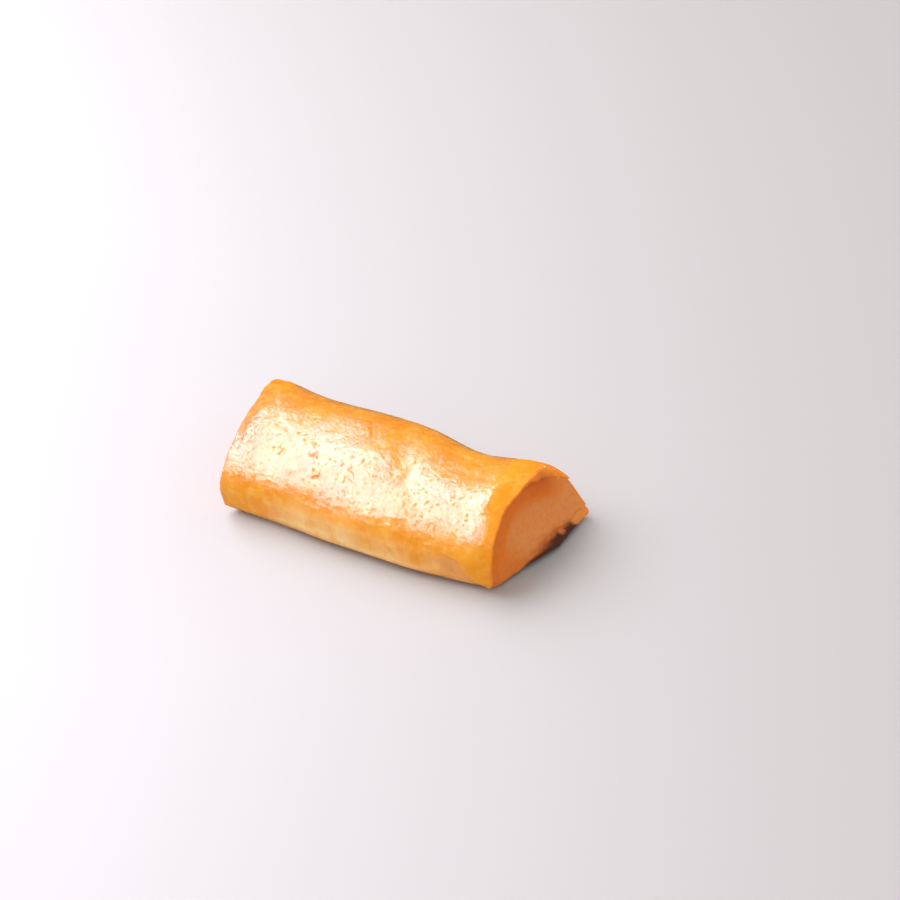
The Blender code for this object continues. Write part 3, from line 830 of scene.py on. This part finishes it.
# %% Brown the panels' folds
FOLD_SPOT, FOLD_RAGGED, FLECK_SIZE, FLECK_LEAST = 1.8, 0.7, 0.8, 0.35
SCORCH_STRENGTH, FLECK_STRENGTH = 0.9, 0.3
fold_height = fold_line(at_y * MM) / MM + FOLD_RAGGED * spots(at_y, at_z, FOLD_SPOT, 83)
reddened = smooth_step((fold_height + 2.6 - at_z) / 3.4) * smooth_step((at_y + 13) / 9)
reddened = reddened * (1 - smooth_step((at_y - 8.5) / 5))
scorched = smooth_step((fold_height + 0.2 - at_z) / 2.0) * smooth_step((at_y + 12) / 8)
scorched = scorched * (1 - smooth_step((at_y - 9.5) / 4)) * np.clip(1 + 0.5 * speckle, 0.4, 1.4)
panel_fleck = np.clip(spots(at_y, at_z, FLECK_SIZE, 84) - FLECK_LEAST, 0, 1)
store("scorched", on_panel * (SCORCH_STRENGTH * scorched + FLECK_STRENGTH * panel_fleck))
store("reddened", on_panel * reddened)

# %% Burn the base of the right end, and paint light on its rear corner
# The height in mm up to which it is burnt, by the depth in mm.
BURN_EDGE = (
    (-20, 0.6), (-14, 1.6), (-8, 2.4), (0, 2.7), (5, 3.5), (9, 3.9), (12, 3.2), (14.5, 0.8),
)
# The char's upper edge against the fold's lip, in mm by the depth.
LIP_CHAR = (
    (-22, -2.5), (-17, -0.8), (-8, -0.2), (0, -0.2), (5, 0), (9, 0.2), (12, -0.6), (14.5, -3),
)
BURN_RAGGED, BURN_FADE, BURN_STRENGTH = 0.9, 1.3, 0.95
burn_edge = through(BURN_EDGE, at_y) + BURN_RAGGED * speckle
burn_edge = np.maximum(burn_edge, through(LIP_CHAR, at_y) + fold_height)
charred = smooth_step((burn_edge - at_z) / BURN_FADE) * (at_x > 0)
store("burnt", on_panel * BURN_STRENGTH * charred)
# The rear corner at the base, which the lamps leave in shade, is painted a brighter orange: painted light.
painted_light_corner = 0.9 * smooth_step((at_y - 14) / 3) * smooth_step((6.5 - at_z) / 2.5) * (at_x > 0)
store("painted_light_corner", on_panel * painted_light_corner)

# %% Paint the hood's shade as a deep orange strip beside the right rim
# Its inner edge, as depth and height in mm.
BAND_CORNERS = (
    (-22, 5.0), (-17.3, 7.7), (-14.3, 13.0), (-10.6, 15.9), (-5.5, 17.1), (0.7, 16.6), (6.9, 14.2),
    (12.9, 11.5), (17, 12.5),
)
BAND_LEAD, BAND_FADE, BAND_LOSS = 1.6, 3.6, 0.7
# The shade that the hood casts on the panel is painted deep orange. It is widest at the top, and a painted
# shade patch lies at the panel's front.
painted_rim_shade = smooth_step((at_z - through(BAND_CORNERS, at_y) + BAND_LEAD) / BAND_FADE)
painted_rim_shade = painted_rim_shade * (1 - BAND_LOSS * smooth_step((at_y - 8) / 8))
painted_shade_front = smooth_step((-6 - at_y - 0.8 * (at_z - 4)) / 8)
store("painted_rim_shade", on_panel * np.maximum(painted_rim_shade, 0.8 * painted_shade_front))
store("panel", on_panel)

# %% [markdown]
# ## The colour and gloss of fried pastry
# Fried pastry is a matt golden crust under a thin film of oil. The crust's colour drifts
# between honey and pale gold over about a centimetre, with finer freckles. The oil lies on
# top as a clear coat with its own sharper gloss, broken up by grain and pores too fine to
# model. The whole finish could be one plain shader, but two layers give the crisp, speckled
# gleam.

# %% Helpers for a material's nodes
class Finish:
    """A material whose nodes are added one after another."""

    def __init__(self, name):
        self.material = bpy.data.materials.new(name)
        self.material.use_nodes = True
        self.tree = self.material.node_tree
        self.shader = self.tree.nodes["Principled BSDF"]
        self.place = self.tree.nodes.new("ShaderNodeTexCoord").outputs["Object"]

    def node(self, kind, **settings):
        made = self.tree.nodes.new(kind)
        for key, value in settings.items():
            setattr(made, key, value)
        return made

    def link(self, source, socket):
        self.tree.links.new(source, socket)

    def noise(self, size, detail=3.0, rough=0.5, seed=0.0):
        """Noise with spots of about the given size, in metres."""
        made = self.node("ShaderNodeTexNoise", noise_dimensions="4D")
        self.link(self.place, made.inputs["Vector"])
        made.inputs["W"].default_value = seed
        made.inputs["Scale"].default_value = 1 / size
        made.inputs["Detail"].default_value = detail
        made.inputs["Roughness"].default_value = rough
        return made.outputs["Fac"]

    def streaks(self, size, length, turned, seed):
        """Noise drawn out along one direction: its size across and its length, in metres."""
        mapping = self.node("ShaderNodeMapping", vector_type="TEXTURE")
        self.link(self.place, mapping.inputs["Vector"])
        mapping.inputs["Rotation"].default_value = turned
        mapping.inputs["Scale"].default_value = (length / size, 1, 1)
        fac = self.noise(size, 3.0, 0.6, seed)
        self.link(mapping.outputs["Vector"], fac.node.inputs["Vector"])
        return fac

    def attribute(self, name):
        return self.node("ShaderNodeAttribute", attribute_name=name).outputs["Fac"]

    def pattern(self, spot, grows):
        """Noise that grows from one value to another between two of its heights."""
        return self.spread(self.noise(*spot), *grows)

    def spread(self, value, low, high, to_low=0.0, to_high=1.0):
        made = self.node("ShaderNodeMapRange", interpolation_type="SMOOTHSTEP")
        self.link(value, made.inputs["Value"])
        for key, number in (("From Min", low), ("From Max", high), ("To Min", to_low), ("To Max", to_high)):
            made.inputs[key].default_value = number
        return made.outputs["Result"]

    def combine(self, operation, first, second):
        made = self.node("ShaderNodeMath", operation=operation)
        for socket, value in zip(made.inputs, (first, second)):
            if isinstance(value, float):
                socket.default_value = value
            else:
                self.link(value, socket)
        return made.outputs[0]

    def blend(self, share, first, second):
        made = self.node("ShaderNodeMix", data_type="RGBA")
        self.link(share, made.inputs[0])
        for socket, value in ((made.inputs[6], first), (made.inputs[7], second)):
            if isinstance(value, tuple):
                socket.default_value = (*value, 1)
            else:
                self.link(value, socket)
        return made.outputs[2]

    def bump(self, height, distance, strength=1.0, below=None):
        made = self.node("ShaderNodeBump")
        self.link(height, made.inputs["Height"])
        made.inputs["Distance"].default_value = distance
        made.inputs["Strength"].default_value = strength
        if below is not None:
            self.link(below, made.inputs["Normal"])
        return made.outputs["Normal"]


print("finish helper ready")

# %% Colours of the pastry
GOLD = (0.93, 0.36, 0.020)
HONEY = (0.88, 0.285, 0.010)
PALE_GOLD = (0.97, 0.52, 0.09)
LIFTED = (0.97, 0.66, 0.29)
# The inner sheet's colour, also used for the painted reflection of the floor low on the front.
INNER_AND_PAINTED_SHEEN = (0.86, 0.38, 0.12)
# Painted light: a brighter orange for the rear corner of the right end.
PAINTED_CORNER_LIGHT = (0.98, 0.33, 0.07)
BLUSH = (0.86, 0.41, 0.21)
THIN = (0.92, 0.27, 0.036)
SHADED_ROOF = (0.66, 0.18, 0.036)
PANEL_TAN = (0.88, 0.30, 0.095)
# Deep orange is the panel's pepper and also the painted shade beside the right rim.
DEEP_ORANGE = (0.90, 0.20, 0.014)
REDDENED = (0.60, 0.125, 0.028)
TOASTED = (0.60, 0.19, 0.020)
BROWN = (0.36, 0.085, 0.014)
BURNT = (0.075, 0.020, 0.010)
print("from pale to burnt, red:", PALE_GOLD[0], BURNT[0])

# %% Patterns in the pastry
# Each is a spot (its size, layers of detail, their roughness and a seed), and the noise's
# heights between which it grows, with its least and most strength where they aren't 0 and 1.
DRIFT = ((11 * MM, 4.0, 0.55, 1.0), (0.36, 0.64))
FRECKLES = ((1.1 * MM, 3.0, 0.6, 2.0), (0.50, 0.72))
CLOUDS = ((4 * MM, 4.0, 0.6, 3.0), (0.45, 0.70))
PANEL_MOTTLE = ((2.2 * MM, 3.0, 0.6, 4.0), (0.35, 0.65, 0.70, 0.95))
PEPPER = ((1.0 * MM, 3.0, 0.7, 11.0), (0.50, 0.62, 0.0, 0.45))
PATCHES = ((1.3 * MM, 3.0, 0.65, 10.0), (0.38, 0.60, 0.55, 1.0))
CLUSTERS = ((6 * MM, 3.0, 0.6, 9.0), (0.42, 0.60, 0.30, 1.0))
FLECKS = ((1.2 * MM, 4.0, 0.65, 8.0), (0.535, 0.60))
DULL_MOTTLE = ((1.0 * MM, 4.0, 0.65, 15.0), (0.45, 0.55))
# Streaks: the size across, the length, how they are turned and a seed.
STREAK_TURN, RIBBON_TURN = (0, 0.375, -0.503), (0, 0.785, -1.571)
RIBBONS, RIBBON_GROWS = (4.5 * MM, 14 * MM, RIBBON_TURN, 14.0), (0.48, 0.68, 0.0, 0.5)
WIPED_STREAKS = (1.2 * MM, 4 * MM, STREAK_TURN, 7.0)
CRUST_SPOT, GRAIN_SPOT = (1.6 * MM, 3.0, 0.6, 5.0), (0.9 * MM, 4.0, 0.65, 6.0)
CRUST_BUMP, WIPED_BUMP, GRAIN_BUMP = 0.10 * MM, 0.24 * MM, 0.17 * MM
CLOUD_SHARE, FRECKLE_SHARE, BAND_SHARE, FLECK_SHARE = 0.55, 0.25, 0.92, 0.22
CRUST_ROUGHNESS, DRY_ENOUGH = (0.42, 0.58), 0.9
COAT_IOR, COAT_ROUGHNESS, CRUST_SPECULAR = 1.5, 0.05, 0.02
print("patterns have spots from", GRAIN_SPOT[0] / MM, "to", DRIFT[0][0] / MM, "mm")


# %% Fried pastry
def crust_colour(skin, clouds, flecks):
    """The colour of the crust, from the drift of the frying to the burnt folds, with painted shade, painted
    light and a painted reflection of the floor laid in.
    """
    def laid_on(colour, mark, share, tint):
        return skin.blend(skin.combine("MULTIPLY", mark, share), colour, tint)

    colour = skin.blend(skin.pattern(*DRIFT), HONEY, GOLD)
    colour = laid_on(colour, clouds, CLOUD_SHARE, PALE_GOLD)
    colour = laid_on(colour, skin.pattern(*FRECKLES), FRECKLE_SHARE, PALE_GOLD)
    colour = skin.blend(skin.attribute("lifted"), colour, LIFTED)
    colour = skin.blend(skin.spread(skin.streaks(*RIBBONS), *RIBBON_GROWS), colour, HONEY)
    # The inner sheet's mark also lays on the painted reflection of the floor.
    marks = (("inner_sheet_and_painted_sheen", INNER_AND_PAINTED_SHEEN), ("blush", BLUSH), ("thin", THIN), ("shaded_roof", SHADED_ROOF))
    for mark, tint in marks:
        colour = skin.blend(skin.attribute(mark), colour, tint)
    colour = laid_on(colour, skin.attribute("panel"), skin.pattern(*PANEL_MOTTLE), PANEL_TAN)
    # Painted shade beside the right rim.
    colour = laid_on(colour, skin.attribute("painted_rim_shade"), BAND_SHARE, DEEP_ORANGE)
    colour = laid_on(colour, skin.attribute("panel"), skin.pattern(*PEPPER), DEEP_ORANGE)
    # Painted light on the right end's rear corner.
    colour = skin.blend(skin.attribute("painted_light_corner"), colour, PAINTED_CORNER_LIGHT)
    patches = skin.pattern(*PATCHES)
    colour = laid_on(colour, skin.attribute("reddened"), patches, REDDENED)
    colour = laid_on(colour, flecks, FLECK_SHARE, HONEY)
    colour = laid_on(colour, skin.attribute("toasted"), patches, TOASTED)
    colour = laid_on(colour, skin.attribute("scorched"), patches, BROWN)
    return skin.blend(skin.attribute("burnt"), colour, BURNT)


def fried_pastry():
    skin = Finish("fried_pastry")
    clouds, flecks = skin.pattern(*CLOUDS), skin.pattern(*FLECKS)
    dry = skin.combine("MULTIPLY", flecks, skin.pattern(*CLUSTERS))
    mottle = skin.combine("MULTIPLY", skin.pattern(*DULL_MOTTLE), skin.attribute("blush"))
    for worn in (mottle, skin.attribute("toasted"), skin.attribute("dull")):
        dry = skin.combine("MAXIMUM", dry, worn)
    shader = skin.shader
    skin.link(crust_colour(skin, clouds, flecks), shader.inputs["Base Color"])
    skin.link(skin.spread(clouds, 0.0, 1.0, *CRUST_ROUGHNESS), shader.inputs["Roughness"])
    skin.link(skin.spread(dry, 0.0, DRY_ENOUGH, 1.0, 0.0), shader.inputs["Coat Weight"])
    shader.inputs["Coat IOR"].default_value = COAT_IOR
    shader.inputs["Coat Roughness"].default_value = COAT_ROUGHNESS
    shader.inputs["Specular IOR Level"].default_value = CRUST_SPECULAR
    crust = skin.bump(skin.noise(*CRUST_SPOT), CRUST_BUMP)
    wiped = skin.bump(skin.streaks(*WIPED_STREAKS), WIPED_BUMP, 1.0, crust)
    grain = skin.bump(skin.noise(*GRAIN_SPOT), GRAIN_BUMP, 1.0, wiped)
    skin.link(crust, shader.inputs["Normal"])
    skin.link(grain, shader.inputs["Coat Normal"])
    return skin.material


pastry = fried_pastry()
skin_mesh.materials.append(pastry)
print("nodes in the pastry finish:", len(pastry.node_tree.nodes))

# %% [markdown]
# ## Crumbs and white specks
# Thin pastry sheds crumbs: shards of up to about three quarters of a millimetre lie along the
# torn rims and the lower edge, and a few pale specks sit on the crown. Each is a small broken
# lump, no two turned alike. They could be copied by hand, but a node tree scatters them where
# an attribute says that the pastry crumbles, and its seed makes it repeatable.

# %% Mark where the pastry crumbles
# White specks that can be seen one by one: x in mm and the angle round the section.
SPECKS = (
    (31.8, 85), (17, 73), (12.8, 68), (36, 57), (36.6, 66), (27.2, 36), (49.2, 56), (41.5, 104),
    (42, 110), (49.5, 122), (49.9, 130), (12, 205), (25.5, 208), (-5.6, 92), (-4.6, 90),
)
# How readily the torn roof, the rims and the low edge shed crumbs.
ROOF_CRUMBLES, RIM_CRUMBLES, EDGE_CRUMBLES = 0.45, 0.10, 0.035
FAR_AWAY = 1000
on_sleeve = past_rim == 0
speck = np.zeros(len(at_x))
for x, angle in SPECKS:
    away = np.hypot(at_x - x, (ring_angle - angle) * SHEET_PER_DEGREE / MM) + FAR_AWAY * ~on_sleeve
    speck[np.argmin(away)] = 1
store("speck", speck)
tear = on_lip * (at_x > 0) * arc_hill(ring_angle, 62, 22)
low_edge = sleeve * arc_hill(ring_angle, 206, 6) * on_sleeve
seen_rim = on_lip * (ring_angle > 20) * (ring_angle < 215)
store("crumbly", ROOF_CRUMBLES * tear + RIM_CRUMBLES * seen_rim + EDGE_CRUMBLES * low_edge)


# %% Crumb material
PALE_CRUMB, TAN_CRUMB, CRUMB_ROUGHNESS = (0.95, 0.74, 0.42), (0.93, 0.50, 0.12), 0.45
CRUMB_TONES = ((1.2 * MM, 2.0, 0.5, 12.0), (0.40, 0.62))
CRUMB_SPOT, CRUMB_BUMP = (0.4 * MM, 2.0, 0.5, 13.0), 0.05 * MM


def crumb_material():
    crumb = Finish("pale_crumb")
    colour = crumb.blend(crumb.pattern(*CRUMB_TONES), PALE_CRUMB, TAN_CRUMB)
    crumb.link(colour, crumb.shader.inputs["Base Color"])
    crumb.shader.inputs["Roughness"].default_value = CRUMB_ROUGHNESS
    crumb.link(crumb.bump(crumb.noise(*CRUMB_SPOT), CRUMB_BUMP), crumb.shader.inputs["Normal"])
    return crumb.material


pale_crumb = crumb_material()
print("crumb nodes:", len(pale_crumb.node_tree.nodes))


# %% Helpers for a scatter's nodes
class Scatter:
    """A geometry tree whose nodes are added one after another."""

    def __init__(self, name, inputs):
        self.tree = bpy.data.node_groups.new(name, "GeometryNodeTree")
        sockets = self.tree.interface
        for socket, kind in inputs:
            sockets.new_socket(socket, in_out="INPUT", socket_type="NodeSocket" + kind)
        sockets.new_socket("Geometry", in_out="OUTPUT", socket_type="NodeSocketGeometry")
        self.given = self.node("NodeGroupInput", {}).outputs

    def node(self, kind, feeds, **settings):
        """Adds a node, and feeds its sockets with a link or a value each."""
        made = self.tree.nodes.new(kind)
        for key, value in settings.items():
            setattr(made, key, value)
        for socket, source in feeds.items():
            if isinstance(source, bpy.types.NodeSocket):
                self.tree.links.new(source, made.inputs[socket])
            else:
                made.inputs[socket].default_value = source
        return made

    def named(self, name):
        made = self.node("GeometryNodeInputNamedAttribute", {"Name": name}, data_type="FLOAT")
        return made.outputs["Attribute"]

    def pick(self, low, high):
        """A random vector between two for each point."""
        made = self.node("FunctionNodeRandomValue", {}, data_type="FLOAT_VECTOR")
        sockets = [s for s in made.inputs if s.enabled and s.name in ("Min", "Max")]
        sockets[0].default_value, sockets[1].default_value = low, high
        self.tree.links.new(self.given["Seed"], made.inputs["Seed"])
        return next(s for s in made.outputs if s.enabled)


print("scatter helper ready")

# %% Places and lumps for the crumbs
# How far a lump's points are pushed about, how a crumb is turned, and how it is stretched.
LUMP_PUSH = ((-0.4, -0.4, -0.4), (0.4, 0.4, 0.4))
CRUMB_TURN = ((0, 0, 0), (6.28, 6.28, 6.28))
CRUMB_STRETCH = ((0.5, 0.4, 0.3), (1.5, 1.2, 0.8))
LUMP_DETAIL, LUMP_FACES = 2, 80


def crumb_places(scatter):
    """Points strewn where the pastry crumbles, and one at each marked speck."""
    given = scatter.given
    feeds = {0: scatter.named("crumbly"), 1: given["Density"]}
    density = scatter.node("ShaderNodeMath", feeds, operation="MULTIPLY")
    feeds = {"Mesh": given["Geometry"], "Density": density.outputs[0], "Seed": given["Seed"]}
    strewn = scatter.node("GeometryNodeDistributePointsOnFaces", feeds)
    feeds = {"A": scatter.named("speck"), "B": 0.5}
    chosen = scatter.node("FunctionNodeCompare", feeds, data_type="FLOAT", operation="GREATER_THAN")
    feeds = {"Mesh": given["Geometry"], "Selection": chosen.outputs["Result"]}
    seen = scatter.node("GeometryNodeMeshToPoints", feeds)
    places = scatter.node("GeometryNodeJoinGeometry", {"Geometry": strewn.outputs["Points"]})
    scatter.tree.links.new(seen.outputs["Points"], places.inputs["Geometry"])
    return places.outputs["Geometry"]


def broken_lump(scatter):
    """A small ball whose points are pushed about, like a broken shard."""
    size = scatter.given["Lump Size"]
    ball = scatter.node("GeometryNodeMeshIcoSphere", {"Subdivisions": LUMP_DETAIL, "Radius": size})
    feeds = {0: scatter.pick(*LUMP_PUSH), "Scale": size}
    push = scatter.node("ShaderNodeVectorMath", feeds, operation="SCALE")
    feeds = {"Geometry": ball.outputs["Mesh"], "Offset": push.outputs[0]}
    return scatter.node("GeometryNodeSetPosition", feeds).outputs["Geometry"]


print("a lump has", LUMP_FACES, "faces")

# %% Scatter the crumbs
CRUMB_INPUTS = (
    ("Geometry", "Geometry"), ("Density", "Float"), ("Seed", "Int"), ("Lump Size", "Float"),
    ("Material", "Material"),
)
CRUMBS_PER_SQUARE_METRE, CRUMB_SEED, LUMP_SIZE = 2.6e5, 5, 0.23 * MM


def crumb_tree():
    """A node tree that scatters broken lumps where the pastry crumbles."""
    scatter = Scatter("scatter_crumbs", CRUMB_INPUTS)
    feeds = {
        "Points": crumb_places(scatter), "Instance": broken_lump(scatter),
        "Rotation": scatter.pick(*CRUMB_TURN), "Scale": scatter.pick(*CRUMB_STRETCH),
    }
    copies = scatter.node("GeometryNodeInstanceOnPoints", feeds)
    feeds = {"Geometry": copies.outputs["Instances"]}
    real = scatter.node("GeometryNodeRealizeInstances", feeds)
    feeds = {"Geometry": real.outputs["Geometry"], "Material": scatter.given["Material"]}
    dressed = scatter.node("GeometryNodeSetMaterial", feeds)
    scatter.node("NodeGroupOutput", {"Geometry": dressed.outputs["Geometry"]})
    return scatter.tree


def scattered(name, carrier_mesh, tree, values):
    """A plain mesh object made by running a node tree on a mesh."""
    carrier = bpy.data.objects.new("carrier", carrier_mesh)
    bpy.context.scene.collection.objects.link(carrier)
    modifier = carrier.modifiers.new("scatter", "NODES")
    modifier.node_group = tree
    for socket in tree.interface.items_tree:
        if socket.in_out == "INPUT" and socket.name in values:
            modifier[socket.identifier] = values[socket.name]
    graph = bpy.context.evaluated_depsgraph_get()
    mesh = bpy.data.meshes.new_from_object(carrier.evaluated_get(graph))
    bpy.data.objects.remove(carrier)
    mesh.name = name
    made = bpy.data.objects.new(name, mesh)
    bpy.context.scene.collection.objects.link(made)
    return made


crumb_values = {
    "Density": CRUMBS_PER_SQUARE_METRE, "Seed": CRUMB_SEED,
    "Lump Size": LUMP_SIZE, "Material": pale_crumb,
}
pastry_crumbs = scattered("pastry_crumbs", skin_mesh.copy(), crumb_tree(), crumb_values)
print("crumbs:", len(pastry_crumbs.data.polygons) // LUMP_FACES)

# %% Put every piece on the solid's body
for piece in (fried_skin, pastry_crumbs):
    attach(piece, "root")
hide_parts("spring_roll")
print("pieces:", [piece.name for piece in (fried_skin, pastry_crumbs)])
